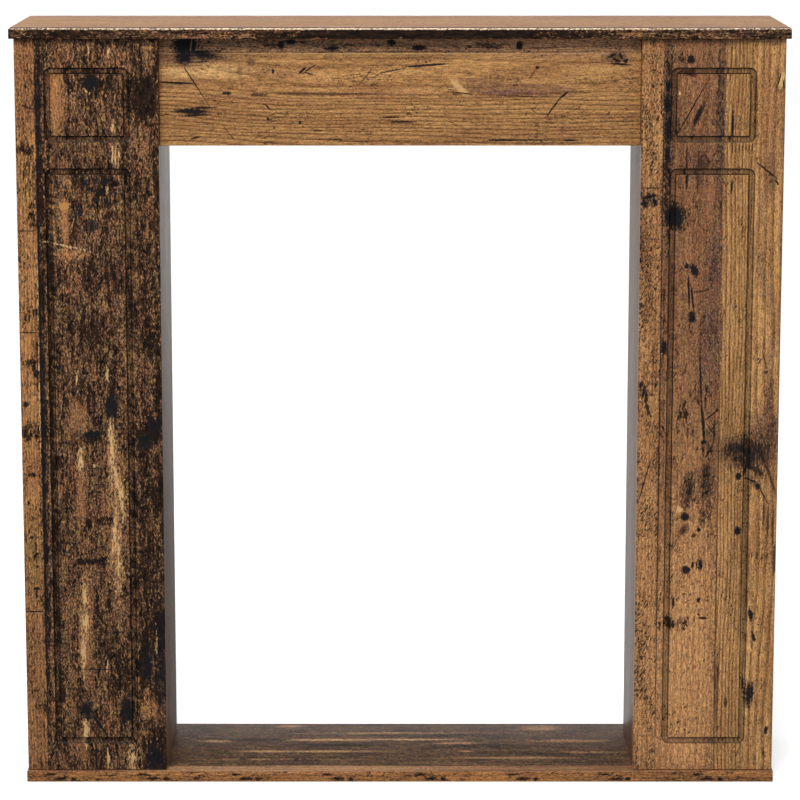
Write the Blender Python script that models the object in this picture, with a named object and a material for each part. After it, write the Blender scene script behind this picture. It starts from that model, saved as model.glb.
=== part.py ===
"""Free-standing fireplace surround in foil-wrapped board.

Two hollow pillars stand on a base board and carry a mantel board. A header board closes the top of the
fire opening between them. Metres, +Z up, the front faces -Y, and the origin is at floor level under the
middle of the mantel, which is the widest and deepest board.
"""

import math

import bmesh
import bpy
from mathutils import Vector

# Overall size
OVERALL_HEIGHT = 1.030
MANTEL_WIDTH = 1.030
MANTEL_DEPTH = 0.245

# Boards
MANTEL_THICKNESS = 0.015
BASE_THICKNESS = 0.015
FRONT_THICKNESS = 0.015
SIDE_THICKNESS = 0.015
HEADER_THICKNESS = 0.015
FIT_GAP = 0.0003  # between two boards that touch

# How the boards stand to each other
MANTEL_OVERHANG = 0.004  # the mantel past the base, all round
BASE_LIP_FRONT = 0.005  # the base past the pillars, at the front
BASE_LIP_SIDE = 0.0015  # the base past the pillars, at each side
PILLAR_WIDTH = 0.190
INNER_SIDE_SETBACK = 0.030  # the inner sides stop this far short of the base's back edge
HEADER_HEIGHT = 0.143

# Edges
MANTEL_EDGE_RADIUS = 0.003
FRONT_EDGE_RADIUS = 0.002
EDGE_SEGMENTS = 4

# Routed frames on the pillar fronts
FRAME_MARGIN = 0.038  # from the panel's edge to the groove
UPPER_FRAME_HEIGHT = 0.0995
FRAME_SPACING = 0.034  # between the upper and the lower frame
GROOVE_WIDTH = 0.0088
GROOVE_DEPTH = 0.003
COVE_RADIUS = 0.0025  # of the groove's outer wall
COVE_SEGMENTS = 5
CORNER_SEGMENTS = 8
CUTTER_CLEARANCE = 0.004  # a cutter stands this far out of the face that it cuts

# Colours are the average of each printed foil, as linear values
LEFT_FRONT_COLOUR = (0.060, 0.034, 0.020)
RIGHT_FRONT_COLOUR = (0.270, 0.140, 0.065)
HEADER_COLOUR = (0.290, 0.160, 0.070)
MANTEL_COLOUR = (0.180, 0.095, 0.050)
BASE_COLOUR = (0.110, 0.065, 0.040)
SIDE_COLOUR = (0.150, 0.085, 0.048)
FOIL_ROUGHNESS = 0.42

# Places that follow from the sizes above
BASE_WIDTH = MANTEL_WIDTH - 2 * MANTEL_OVERHANG
BASE_FRONT_Y = -MANTEL_DEPTH / 2 + MANTEL_OVERHANG
BASE_BACK_Y = MANTEL_DEPTH / 2 - MANTEL_OVERHANG
MANTEL_UNDERSIDE_Z = OVERALL_HEIGHT - MANTEL_THICKNESS
PANEL_BOTTOM_Z = BASE_THICKNESS + FIT_GAP
PANEL_TOP_Z = MANTEL_UNDERSIDE_Z - FIT_GAP
PILLAR_OUTER_X = BASE_WIDTH / 2 - BASE_LIP_SIDE
PILLAR_INNER_X = PILLAR_OUTER_X - PILLAR_WIDTH
PILLAR_FRONT_Y = BASE_FRONT_Y + BASE_LIP_FRONT
FRONT_BACK_Y = PILLAR_FRONT_Y + FRONT_THICKNESS
SIDE_FRONT_Y = FRONT_BACK_Y + FIT_GAP
INNER_SIDE_BACK_Y = BASE_BACK_Y - INNER_SIDE_SETBACK
HEADER_END_X = PILLAR_INNER_X - FIT_GAP


def foil_material(name, colour):
    """A printed foil with one average colour."""
    material = bpy.data.materials.new(name)
    material.use_nodes = True
    shader = material.node_tree.nodes["Principled BSDF"]
    shader.inputs["Base Color"].default_value = (*colour, 1.0)
    shader.inputs["Roughness"].default_value = FOIL_ROUGHNESS
    shader.inputs["Metallic"].default_value = 0.0
    return material


def box_mesh(size):
    """A bmesh box of that size, centred on its own origin."""
    mesh = bmesh.new()
    bmesh.ops.create_cube(mesh, size=1.0)
    bmesh.ops.scale(mesh, vec=Vector(size), verts=mesh.verts)
    return mesh


def edges_where(mesh, test):
    """The edges whose two ends both pass the test."""
    return [edge for edge in mesh.edges if all(test(vertex.co) for vertex in edge.verts)]


def round_edges(mesh, edges, radius, segments):
    """Rounds those edges to a quarter circle."""
    bmesh.ops.bevel(
        mesh,
        geom=edges,
        offset=radius,
        segments=segments,
        profile=0.5,
        affect="EDGES",
        clamp_overlap=True,
        material=-1,
    )


def place(name, mesh, low, high, material=None):
    """Turns a bmesh into a named object in the middle of the box from low to high."""
    data = bpy.data.meshes.new(name)
    mesh.to_mesh(data)
    mesh.free()
    data.shade_smooth()
    data.set_sharp_from_angle(angle=math.radians(30))
    if material:
        data.materials.append(material)
    board = bpy.data.objects.new(name, data)
    board.location = (Vector(low) + Vector(high)) / 2
    bpy.context.scene.collection.objects.link(board)
    return board


def board_between(name, low, high, material):
    """A plain square-edged board that fills the box from low to high."""
    return place(name, box_mesh(Vector(high) - Vector(low)), low, high, material)


def add_mantel(material):
    """The top board, with the upper edges of its front and sides rounded."""
    low = Vector((-MANTEL_WIDTH / 2, -MANTEL_DEPTH / 2, MANTEL_UNDERSIDE_Z))
    high = Vector((MANTEL_WIDTH / 2, MANTEL_DEPTH / 2, OVERALL_HEIGHT))
    mesh = box_mesh(high - low)
    back = MANTEL_DEPTH / 2 - FIT_GAP
    upper = edges_where(mesh, lambda point: point.z > 0)
    rounded = [edge for edge in upper if not all(end.co.y > back for end in edge.verts)]
    round_edges(mesh, rounded, MANTEL_EDGE_RADIUS, EDGE_SEGMENTS)
    return place("mantel_board", mesh, low, high, material)


def add_base(material):
    """The bottom board, which is the hearth between the pillars and stands on the floor."""
    low = (-BASE_WIDTH / 2, BASE_FRONT_Y, 0.0)
    high = (BASE_WIDTH / 2, BASE_BACK_Y, BASE_THICKNESS)
    return board_between("base_board", low, high, material)


def add_header(material):
    """The board across the top of the fire opening, between the pillars' inner sides."""
    low = (-HEADER_END_X, FRONT_BACK_Y, MANTEL_UNDERSIDE_Z - HEADER_HEIGHT)
    high = (HEADER_END_X, FRONT_BACK_Y + HEADER_THICKNESS, PANEL_TOP_Z)
    return board_between("header_board", low, high, material)


def groove_cutter(name, centre_x, bottom_z, top_z):
    """The tool's path around one routed frame: rounded corners outside, sharp corners inside."""
    width = PILLAR_WIDTH - 2 * FRAME_MARGIN
    front_y = PILLAR_FRONT_Y - CUTTER_CLEARANCE
    deep_y = PILLAR_FRONT_Y + GROOVE_DEPTH
    low = Vector((centre_x - width / 2, front_y, bottom_z))
    high = Vector((centre_x + width / 2, deep_y, top_z))
    size = high - low

    tray = box_mesh(size)
    corners = [edge for edge in tray.edges if abs(edge.verts[0].co.y - edge.verts[1].co.y) > size.y / 2]
    round_edges(tray, corners, GROOVE_WIDTH, CORNER_SEGMENTS)
    foot = edges_where(tray, lambda point: point.y > size.y / 2 - FIT_GAP)
    round_edges(tray, foot, COVE_RADIUS, COVE_SEGMENTS)
    cutter = place(name, tray, low, high)

    inset = Vector((GROOVE_WIDTH, 0.0, GROOVE_WIDTH))
    reach = Vector((0.0, CUTTER_CLEARANCE, 0.0))
    field_low = low + inset - reach
    field_high = high - inset + reach
    field = place(name + "_field", box_mesh(field_high - field_low), field_low, field_high)

    leave_field = cutter.modifiers.new("leave_field", "BOOLEAN")
    leave_field.operation = "DIFFERENCE"
    leave_field.object = field
    for guide in (cutter, field):
        guide.hide_render = True
        guide.display_type = "WIRE"
    return cutter


def add_pillar_front(side, direction, material):
    """One pillar's front panel, with rounded edges and two routed frames."""
    ends_x = sorted((direction * PILLAR_INNER_X, direction * PILLAR_OUTER_X))
    low = Vector((ends_x[0], PILLAR_FRONT_Y, PANEL_BOTTOM_Z))
    high = Vector((ends_x[1], FRONT_BACK_Y, PANEL_TOP_Z))
    mesh = box_mesh(high - low)
    round_edges(mesh, edges_where(mesh, lambda point: point.y < 0), FRONT_EDGE_RADIUS, EDGE_SEGMENTS)
    panel = place(side + "_pillar_front", mesh, low, high, material)

    upper_top_z = MANTEL_UNDERSIDE_Z - FRAME_MARGIN
    upper_bottom_z = upper_top_z - UPPER_FRAME_HEIGHT
    frames_z = {
        "upper": (upper_bottom_z, upper_top_z),
        "lower": (BASE_THICKNESS + FRAME_MARGIN, upper_bottom_z - FRAME_SPACING),
    }
    for level, (bottom_z, top_z) in frames_z.items():
        cutter = groove_cutter(f"{side}_{level}_groove", (low.x + high.x) / 2, bottom_z, top_z)
        groove = panel.modifiers.new(level + "_groove", "BOOLEAN")
        groove.operation = "DIFFERENCE"
        groove.object = cutter
    return panel


def add_pillar_sides(side, direction, material):
    """One pillar's two sides. The outer one runs to the base's back edge, and the inner one stops short."""
    faces = {
        "outer": (PILLAR_OUTER_X - SIDE_THICKNESS, PILLAR_OUTER_X, BASE_BACK_Y),
        "inner": (PILLAR_INNER_X, PILLAR_INNER_X + SIDE_THICKNESS, INNER_SIDE_BACK_Y),
    }
    for place_name, (near_x, far_x, back_y) in faces.items():
        ends_x = sorted((direction * near_x, direction * far_x))
        low = (ends_x[0], SIDE_FRONT_Y, PANEL_BOTTOM_Z)
        high = (ends_x[1], back_y, PANEL_TOP_Z)
        board_between(f"{side}_pillar_{place_name}_side", low, high, material)


def main():
    for leftover in list(bpy.data.objects):
        bpy.data.objects.remove(leftover)
    side_foil = foil_material("side_foil", SIDE_COLOUR)
    add_mantel(foil_material("mantel_foil", MANTEL_COLOUR))
    add_base(foil_material("base_foil", BASE_COLOUR))
    add_header(foil_material("header_foil", HEADER_COLOUR))
    add_pillar_front("left", -1, foil_material("left_front_foil", LEFT_FRONT_COLOUR))
    add_pillar_front("right", 1, foil_material("right_front_foil", RIGHT_FRONT_COLOUR))
    for side, direction in (("left", -1), ("right", 1)):
        add_pillar_sides(side, direction, side_foil)


main()
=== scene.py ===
# %% [markdown]
# # A fireplace surround in old-wood foil
#
# The real object is flat-pack furniture: chipboard wrapped in a printed foil that looks like old planks.
# The CAD model already has its nine boards at their real size. This script gives them the last fine edges
# and, above all, the print. It starts by loading the model as a fixed frame, because each piece here takes
# its size and place from a board there.

# %% Load the frame
import math

import bmesh
import bpy
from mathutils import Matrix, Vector


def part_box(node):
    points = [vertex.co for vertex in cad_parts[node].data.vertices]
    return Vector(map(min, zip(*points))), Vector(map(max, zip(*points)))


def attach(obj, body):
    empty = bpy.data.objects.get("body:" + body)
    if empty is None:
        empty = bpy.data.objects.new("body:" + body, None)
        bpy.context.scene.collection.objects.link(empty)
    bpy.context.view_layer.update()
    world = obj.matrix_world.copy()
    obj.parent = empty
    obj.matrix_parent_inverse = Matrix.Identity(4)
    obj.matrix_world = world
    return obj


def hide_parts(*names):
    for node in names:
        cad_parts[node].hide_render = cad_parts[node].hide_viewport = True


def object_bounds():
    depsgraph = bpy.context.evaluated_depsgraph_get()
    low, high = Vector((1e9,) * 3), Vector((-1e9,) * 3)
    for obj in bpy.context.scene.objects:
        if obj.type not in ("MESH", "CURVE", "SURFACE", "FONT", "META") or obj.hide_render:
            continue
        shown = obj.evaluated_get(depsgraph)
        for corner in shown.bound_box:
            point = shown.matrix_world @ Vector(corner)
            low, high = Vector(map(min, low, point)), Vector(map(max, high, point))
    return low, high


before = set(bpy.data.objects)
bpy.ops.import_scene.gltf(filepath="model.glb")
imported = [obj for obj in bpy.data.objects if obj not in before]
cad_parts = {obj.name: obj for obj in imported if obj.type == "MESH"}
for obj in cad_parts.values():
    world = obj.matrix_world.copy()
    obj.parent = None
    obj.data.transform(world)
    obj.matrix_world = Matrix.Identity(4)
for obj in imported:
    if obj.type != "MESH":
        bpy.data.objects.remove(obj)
cad_low, cad_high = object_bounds()
MM = 0.001
print("nodes:", ", ".join(sorted(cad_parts)))
print("CAD box in mm:", [round(side / MM, 1) for side in cad_high - cad_low])

# %% [markdown]
# ## Camera
#
# The picture is taken from the front, a little above the mantel, with a long lens. The visible strips of
# the mantel's top, of the base and of the pillars' inner sides fix the distance and the height. A camera
# could be kept level and shifted instead, but then every other view would be shifted too, so this one is
# tilted down.

# %% Place the camera
CAMERA_AWAY = 4.32  # metres in front of the mantel
CAMERA_HEIGHT = 1.319
CAMERA_TILT = 10.315  # degrees down
LENS_MM = 147.4


def add_camera():
    """A long lens in front of the middle of the surround."""
    data = bpy.data.cameras.new("camera")
    data.lens = LENS_MM
    data.clip_end = 200.0
    camera = bpy.data.objects.new("camera", data)
    camera.location = (0.0, cad_low.y - CAMERA_AWAY, CAMERA_HEIGHT)
    camera.rotation_euler = (math.radians(90.0 - CAMERA_TILT), 0.0, 0.0)
    bpy.context.scene.collection.objects.link(camera)
    bpy.context.scene.camera = camera
    return camera


camera = add_camera()
print("camera at", [round(value, 3) for value in camera.location])

# %% [markdown]
# ## Colours and nodes
#
# Every colour is written as it looks on a screen, as a hex value, and one function turns it into the linear
# light that shaders work in. A second small function adds a node, fills its sockets in their own order with
# values or with other nodes' outputs, and gives its output back. With these two, a material reads as a list
# of patterns.

# %% Helpers for colours and nodes


def linear(hex_colour):
    """A screen colour such as '#a87444' as linear red, green, blue and alpha."""
    channels = [int(hex_colour[start:start + 2], 16) / 255 for start in (1, 3, 5)]
    light = [c / 12.92 if c <= 0.04045 else ((c + 0.055) / 1.055) ** 2.4 for c in channels]
    return (*light, 1.0)


def add(tree, kind, *values, out=0, **settings):
    """Adds a node with its settings and links, and returns one of its outputs."""
    node = tree.nodes.new("ShaderNode" + kind)
    for name, value in settings.items():
        setattr(node, name, value)
    sockets = [socket for socket in node.inputs if socket.enabled]
    for socket, value in zip(sockets, values):
        if isinstance(value, bpy.types.NodeSocket):
            tree.links.new(value, socket)
        else:
            socket.default_value = linear(value) if isinstance(value, str) else value
    return node.outputs[out] if isinstance(out, str) else [s for s in node.outputs if s.enabled][out]


COLOUR = {"data_type": "RGBA"}
SOFT = {"interpolation_type": "SMOOTHSTEP"}
print("#a87444 is", [round(value, 3) for value in linear("#a87444")])

# %% [markdown]
# ## Studio
#
# The photograph has even, soft light on a white ground. A white dome gives the even light, and a large
# panel light from high in front darkens what faces down, such as the upper wall of a groove. What the foil
# mirrors matters as much. Its fronts mirror the dark side of the studio, so their blacks stay black. Its
# top and its inner sides are seen at a flat angle and mirror the white wall behind, so they look grey.

# %% Light and floor
DOME_LIGHT = 0.60
PANEL_LIGHT_WATTS = 175.0
PANEL_LIGHT_SIZE = 2.0
PANEL_LIGHT_AT = Vector((-0.7, -3.0, 3.4))
FLOOR_REACH = 60.0
FLOOR_GLOW = 0.45  # lifts the paper to pure white, as in the photograph
WHITE_PAPER = 1.0
DARK_WALL = 0.04
RIGHT_SIDE_GLOW = 0.87  # what the right pillar's inner side mirrors
LEFT_SIDE_TOP_GLOW = 1.3
LEFT_SIDE_FOOT_GLOW = 0.2
DARK_CEILING = 0.03
LAMP_ABOVE = 8.0


def add_studio():
    """A white dome, a white wall behind for reflections, and one soft panel light."""
    scene = bpy.context.scene
    scene.view_settings.view_transform = "Standard"
    scene.world = bpy.data.worlds.new("studio")
    scene.world.use_nodes = True
    tree = scene.world.node_tree
    tree.nodes.clear()
    ways = add(tree, "SeparateXYZ", add(tree, "TexCoord", out="Generated")).node.outputs
    # X, Y and Z say where a mirrored ray flies: to the right, away and up. The wall stands away from the
    # camera and is white up to a low height.
    behind = add(tree, "MapRange", ways["Y"], 0.2, 0.9, 0.0, 1.0, **SOFT)
    low = add(tree, "MapRange", ways["Z"], 0.21, 0.05, DARK_WALL, WHITE_PAPER, **SOFT)
    # The left pillar's inner side mirrors what lies to the right, and the right one's what lies to the left
    deep = add(tree, "MapRange", ways["X"], -0.04, 0.04, RIGHT_SIDE_GLOW, LEFT_SIDE_FOOT_GLOW)
    upper = add(tree, "MapRange", ways["X"], -0.04, 0.04, RIGHT_SIDE_GLOW, LEFT_SIDE_TOP_GLOW)
    below = add(tree, "MapRange", ways["Z"], -0.26, -0.05, deep, upper, **SOFT)
    below = add(tree, "MapRange", ways["Z"], -0.03, 0.03, below, WHITE_PAPER, **SOFT)
    wall = add(tree, "Math", behind, low, operation="MULTIPLY")
    wall = add(tree, "Math", wall, below, operation="MULTIPLY")
    # A lamp overhead draws thin light lines on the routed edges that face up
    above = add(tree, "MapRange", ways["Z"], 0.85, 0.96, DARK_CEILING, LAMP_ABOVE, **SOFT)
    glow = add(tree, "Math", wall, above, operation="MAXIMUM")
    mirrored = add(tree, "Background", "#ffffff", glow)
    dome = add(tree, "Background", "#ffffff", DOME_LIGHT)
    seen = add(tree, "Background", "#ffffff", WHITE_PAPER)
    lit = add(tree, "MixShader", add(tree, "LightPath", out="Is Glossy Ray"), dome, mirrored)
    whole = add(tree, "MixShader", add(tree, "LightPath", out="Is Camera Ray"), lit, seen)
    tree.links.new(whole, tree.nodes.new("ShaderNodeOutputWorld").inputs["Surface"])

    lamp = bpy.data.lights.new("panel_light", "AREA")
    lamp.shape = "SQUARE"
    lamp.size = PANEL_LIGHT_SIZE
    lamp.energy = PANEL_LIGHT_WATTS
    light = bpy.data.objects.new("panel_light", lamp)
    light.location = PANEL_LIGHT_AT
    aim = Vector((0.0, 0.0, cad_high.z / 2)) - PANEL_LIGHT_AT
    light.rotation_euler = aim.to_track_quat("-Z", "Y").to_euler()
    light.visible_glossy = False
    scene.collection.objects.link(light)


def add_floor():
    """Matt white paper that runs out of sight and shows the eye no edge and no shine.

    It isn't mirrored in the foil, which keeps the print clear.
    """
    mesh = bmesh.new()
    bmesh.ops.create_grid(mesh, x_segments=1, y_segments=1, size=FLOOR_REACH)
    data = bpy.data.meshes.new("floor")
    mesh.to_mesh(data)
    mesh.free()
    floor = bpy.data.objects.new("floor", data)
    floor.visible_glossy = False
    floor.visible_diffuse = False
    bpy.context.scene.collection.objects.link(floor)
    paper = bpy.data.materials.new("white_studio_paper")
    paper.use_nodes = True
    shader = paper.node_tree.nodes["Principled BSDF"]
    shader.inputs["Base Color"].default_value = linear("#f6f6f6")
    shader.inputs["Roughness"].default_value = 0.9
    shader.inputs["Emission Color"].default_value = linear("#ffffff")
    shader.inputs["Emission Strength"].default_value = FLOOR_GLOW
    data.materials.append(paper)


add_studio()
add_floor()
print("the dome gives", DOME_LIGHT, "and the panel", PANEL_LIGHT_WATTS, "W")

# %% [markdown]
# ## The foil as a sheet
#
# The foil is one flat printed sheet that runs on round each edge of its board. So a point on the print has
# two numbers only: millimetres right and down from the corner of the board's face. What lies behind the
# face is added to both, which carries the pattern round the edge instead of drawing it out into lines. Old
# wood is stretched along its grain, so each noise gets two sizes, one across the grain and one along it.

# %% The sheet of foil
WRAP_ACROSS = 1.0  # how far the print runs on for each millimetre behind the face
WRAP_ALONG = 0.3
SEED_STEP = (91.0, 37.0)  # mm between the places on the noise that two seeds use
RAGGED_WIDTH = 2.4  # mm across the grain, of the noise in painted edges
MARK_DEFAULTS = (0.0, 0.25, 1.0)  # a mark's turn, fade and amount


class Foil:
    """One board's printed foil: its material, and each point's place on the print in millimetres."""

    def __init__(self, name, node, axes, grain):
        """axes are the model's axes to the right, upwards and into the board, such as "xz+y"."""
        self.material = bpy.data.materials.new(name)
        self.material.use_nodes = True
        self.tree = self.material.node_tree
        self.shader = self.tree.nodes["Principled BSDF"]
        low, high = (dict(zip("xyz", corner / MM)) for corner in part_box(node))
        right_axis, up_axis, sign, depth_axis = axes
        place = self.add("TexCoord", out="Object")
        place = self.add("Mapping", place, (0.0, 0.0, 0.0), (0.0, 0.0, 0.0), (1 / MM, 1 / MM, 1 / MM))
        split = self.add("SeparateXYZ", place).node.outputs
        face = low[depth_axis] if sign == "+" else high[depth_axis]
        behind = self.add("Math", split[depth_axis.upper()], face, operation="SUBTRACT")
        if sign == "-":
            behind = self.add("Math", behind, -1.0, operation="MULTIPLY")
        right = self.add("Math", split[right_axis.upper()], low[right_axis], operation="SUBTRACT")
        down = self.add("Math", high[up_axis], split[up_axis.upper()], operation="SUBTRACT")
        wraps = (WRAP_ACROSS, WRAP_ALONG) if grain == "up" else (WRAP_ALONG, WRAP_ACROSS)
        right = self.add("Math", behind, wraps[0], right, operation="MULTIPLY_ADD")
        down = self.add("Math", behind, wraps[1], down, operation="MULTIPLY_ADD")
        self.grain = grain
        self.across, self.along = (right, down) if grain == "up" else (down, right)
        breadth_axis = right_axis if grain == "up" else up_axis
        self.breadth = high[breadth_axis] - low[breadth_axis]
        self.point = self.add("CombineXYZ", right, down)
        self.drawn_at = self.point
        self.share = None  # which share of the breadth a point lies at, once the planks are laid
        self.ragged = {}

    def add(self, kind, *values, **settings):
        return add(self.tree, kind, *values, **settings)

    def blots(self, low, high, across, along, seed, detail=2.0, rough=0.5, turn=0.0, curl=0.0, **settings):
        """Soft blots, across by along in millimetres, that swing from low to high. curl twists them."""
        size = (across, along, 1.0) if self.grain == "up" else (along, across, 1.0)
        start = (SEED_STEP[0] * seed, SEED_STEP[1] * seed, 0.0)
        turned = (0.0, 0.0, math.radians(turn))
        spread = self.add("Mapping", self.drawn_at, start, turned, size, vector_type="TEXTURE")
        noise = self.add("TexNoise", spread, 1.0, detail, rough, 2.0, curl, noise_dimensions="2D")
        return self.add("MapRange", noise, 0.30, 0.70, low, high, **settings)

    def raggedness(self, along):
        """The noise that makes painted edges ragged. It is made once for each length along the grain."""
        if along not in self.ragged:
            noise = self.blots(-1.0, 1.0, RAGGED_WIDTH, along, seed=12.0, detail=3.0, rough=0.6, clamp=False)
            self.ragged[along] = noise
        return self.ragged[along]

    def reach(self, right, down, wide, tall, turn=0.0):
        """How far a point is from an oval's middle: 1 is on its edge. Millimetres, and degrees clockwise."""
        spot = self.point
        if turn:
            centre = (right, down, 0.0)
            spot = self.add("VectorRotate", spot, centre, -math.radians(turn), rotation_type="Z_AXIS")
        radii = (2 / wide, 2 / tall, 0.0)
        start = (-2 * right / wide, -2 * down / tall, 0.0)
        spot = self.add("VectorMath", spot, radii, start, operation="MULTIPLY_ADD")
        return self.add("VectorMath", spot, operation="LENGTH")

    def marks(self, ragged, rows):
        """Oval marks as one mask. Each row is right, down, wide, tall, and perhaps turn, fade and amount.

        Marks of the same fade and amount share one ragged edge, which renders faster than one for each.
        """
        groups = {}
        for right, down, wide, tall, *more in rows:
            turn, fade, amount = (*more, *MARK_DEFAULTS[len(more):])
            groups.setdefault((fade, amount), []).append(self.reach(right, down, wide, tall, turn))
        whole = None
        for (fade, amount), reaches in groups.items():
            near = reaches[0]
            for other in reaches[1:]:
                near = self.add("Math", near, other, operation="MINIMUM")
            near = self.add("Math", near, ragged, operation="ADD")
            mask = self.add("MapRange", near, 1.0 + fade, 1.0 - fade, 0.0, amount, **SOFT)
            whole = self.add("Math", whole, mask, operation="MAXIMUM") if whole else mask
        return whole


print("behind a face, the print runs on by", WRAP_ACROSS, "across the grain and", WRAP_ALONG, "along it")

# %% [markdown]
# ## Planks
#
# The print shows planks side by side: pale pine with close growth rings, russet planks, and planks black
# with soot. They differ in a few values only, so each is a row of values, and a ramp with hard steps picks
# the row by the place across the grain. One set of noises then draws them all, shifted from plank to plank.

# %% Lay planks side by side
JOINT_WANDER = 1.2  # mm that a joint strays to either side
SHIFT_SPAN = 900.0  # mm, of which each plank's pattern is shifted along the grain by its own share
FIRST_SHIFT = 0.13
NEXT_SHIFT = 0.29
PINE = {"light": "#b58750", "deep": "#966a3a", "ring": "#5e3512", "rings": 0.95, "rings_per_mm": 0.18,
        "soot": 0.14, "specks": 0.8, "grit": 0.27, "hues": 0.3}
RUSSET = {"light": "#92603d", "deep": "#6a4327", "ring": "#3a1f10", "rings": 0.35, "rings_per_mm": 0.13,
          "soot": 0.30, "specks": 0.85, "grit": 0.28, "hues": 0.8}
SOOTY = {"light": "#9c6538", "deep": "#5a3924", "ring": "#2a180d", "rings": 0.6, "rings_per_mm": 0.3,
         "soot": 0.55, "specks": 0.9, "grit": 0.5, "hues": 1.9}


def by_plank(foil, planks, key, scale=1.0):
    """A ramp with hard steps that gives each plank's own colour, or its own number times scale."""
    ramp = foil.add("ValToRGB", foil.share)
    steps = ramp.node.color_ramp
    steps.interpolation = "CONSTANT"
    start = 0.0
    for index, plank in enumerate(planks):
        step = steps.elements[0] if index == 0 else steps.elements.new(start)
        value = plank[key]
        step.color = linear(value) if isinstance(value, str) else (*[scale * value] * 3, 1.0)
        start = plank.get("to", foil.breadth) / foil.breadth
    steps.elements.remove(steps.elements[-1])
    return ramp


def lay_planks(foil, planks):
    """Gives each point its plank, and shifts each plank's pattern along the grain."""
    wander = foil.blots(-JOINT_WANDER, JOINT_WANDER, 2.0, 14.0, seed=0.0)
    place = foil.add("Math", foil.across, wander, operation="ADD")
    foil.share = foil.add("Math", place, foil.breadth, operation="DIVIDE", use_clamp=True)
    shifted = [{**plank, "shift": FIRST_SHIFT + NEXT_SHIFT * index} for index, plank in enumerate(planks)]
    shift = foil.add("Math", by_plank(foil, shifted, "shift"), SHIFT_SPAN, operation="MULTIPLY")
    shift = foil.add("CombineXYZ", *((0.0, shift) if foil.grain == "up" else (shift, 0.0)))
    foil.drawn_at = foil.add("VectorMath", foil.point, shift, operation="ADD")


print("the patterns of two planks lie", round(NEXT_SHIFT * SHIFT_SPAN), "mm apart along the grain")

# %% [markdown]
# ## Growth rings
#
# On a sawn plank the growth rings show as lines along the grain. A wave texture could draw them, but its
# lines can't turn wide in one place or make way for a knot. So the place across the grain is bent first and
# then counted in rings. The late wood, which is the dark part of a ring, sets in softly and ends at once.

# %% Draw growth rings
KNOT_STRETCH = 2.4  # how far along the grain a knot bends the rings, in its own radii
LATE_WOOD = 0.35  # share of a ring where its dark part sets in
LATE_WOOD_FULL = 0.88
LATE_WOOD_ENDS = 0.93
WIDE_LATE_WOOD = 0.6  # the same where the rings are wide
WIDE_RINGS = 0.36  # how many wide rings there are for each close one
TURN_WIDE = (-12.0, 4.0)  # mm before and after the line where rings turn wide
FAINT, CLEAR = 0.55, 0.95  # how well wide and close rings show


def bell(foil, middle, length):
    """1 at that place along the grain, and softly down to 0 beyond that length to either side."""
    far = foil.add("Math", foil.along, middle, operation="SUBTRACT")
    far = foil.add("Math", far, length, operation="DIVIDE")
    fall = foil.add("Math", foil.add("Math", far, 2.0, operation="POWER"), -1.0, operation="MULTIPLY")
    return foil.add("Math", math.e, fall, operation="POWER")


def bend_round(foil, across, centre, height, radius):
    """Leads the growth rings round a knot, as if they had to make way for it."""
    side = foil.add("Math", across, centre, operation="SUBTRACT")
    room = foil.add("Math", side, side, operation="MULTIPLY")
    near = bell(foil, height, radius * KNOT_STRETCH)
    room = foil.add("Math", near, -radius * radius, room, operation="MULTIPLY_ADD")
    left = foil.add("Math", foil.add("Math", room, 0.0, operation="MAXIMUM"), operation="SQRT")
    return foil.add("Math", foil.add("Math", side, operation="SIGN"), left, centre, operation="MULTIPLY_ADD")


def swing(foil, across, rows):
    """Swings the growth rings sideways. Each row is where along the grain, over what length and how deep."""
    for middle, length, depth in rows:
        across = foil.add("Math", bell(foil, middle, length), -depth, across, operation="MULTIPLY_ADD")
    return across


def growth_rings(foil, planks, sweeps=(), knots=(), open_at=None, dips=()):
    """How dark the rings are, from 0 to 1.

    sweeps are rows for swing, and knots are (place across, place along, radius). open_at is the place across
    the grain where the rings turn wide, and dips are rows for swing in that wide part only.
    """
    across = swing(foil, foil.across, sweeps)
    for knot in knots:
        across = bend_round(foil, across, *knot)
    sets_in = LATE_WOOD
    if open_at is not None:
        turn_wide = (open_at + TURN_WIDE[0], open_at + TURN_WIDE[1])
        sets_in = foil.add("MapRange", across, *turn_wide, WIDE_LATE_WOOD, LATE_WOOD)
        close = foil.add("Math", across, open_at, operation="MAXIMUM")
        wide = foil.add("Math", swing(foil, across, dips), open_at, operation="SUBTRACT")
        wide = foil.add("Math", wide, 0.0, operation="MINIMUM")
        across = foil.add("Math", wide, WIDE_RINGS, close, operation="MULTIPLY_ADD")
    # The trunk's own slow bends, and the small ones where a branch was near
    for swerve, across_grain, along_grain, seed in ((4.5, 70.0, 420.0, 2.0), (0.9, 12.0, 110.0, 3.0)):
        bend = foil.blots(-swerve, swerve, across_grain, along_grain, seed, detail=1.0)
        across = foil.add("Math", bend, across, operation="ADD")
    ring = foil.add("Math", across, by_plank(foil, planks, "rings_per_mm"), operation="MULTIPLY")
    ring = foil.add("Math", ring, operation="FRACT")
    late = foil.add("MapRange", ring, sets_in, LATE_WOOD_FULL, 0.0, 1.0, **SOFT)
    ended = foil.add("MapRange", ring, 1.0, LATE_WOOD_ENDS, 0.0, 1.0, **SOFT)
    late = foil.add("Math", late, ended, operation="MULTIPLY")
    if open_at is not None:
        shown = foil.add("MapRange", foil.across, *turn_wide, FAINT, CLEAR)
        late = foil.add("Math", late, shown, operation="MULTIPLY")
    worn = foil.blots(0.5, 1.15, 6.0, 50.0, seed=4.0, detail=3.0)
    late = foil.add("Math", late, worn, operation="MULTIPLY")
    return foil.add("Math", late, by_plank(foil, planks, "rings"), operation="MULTIPLY")


print("one wide ring stands for", round(1 / WIDE_RINGS, 1), "close ones")

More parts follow.
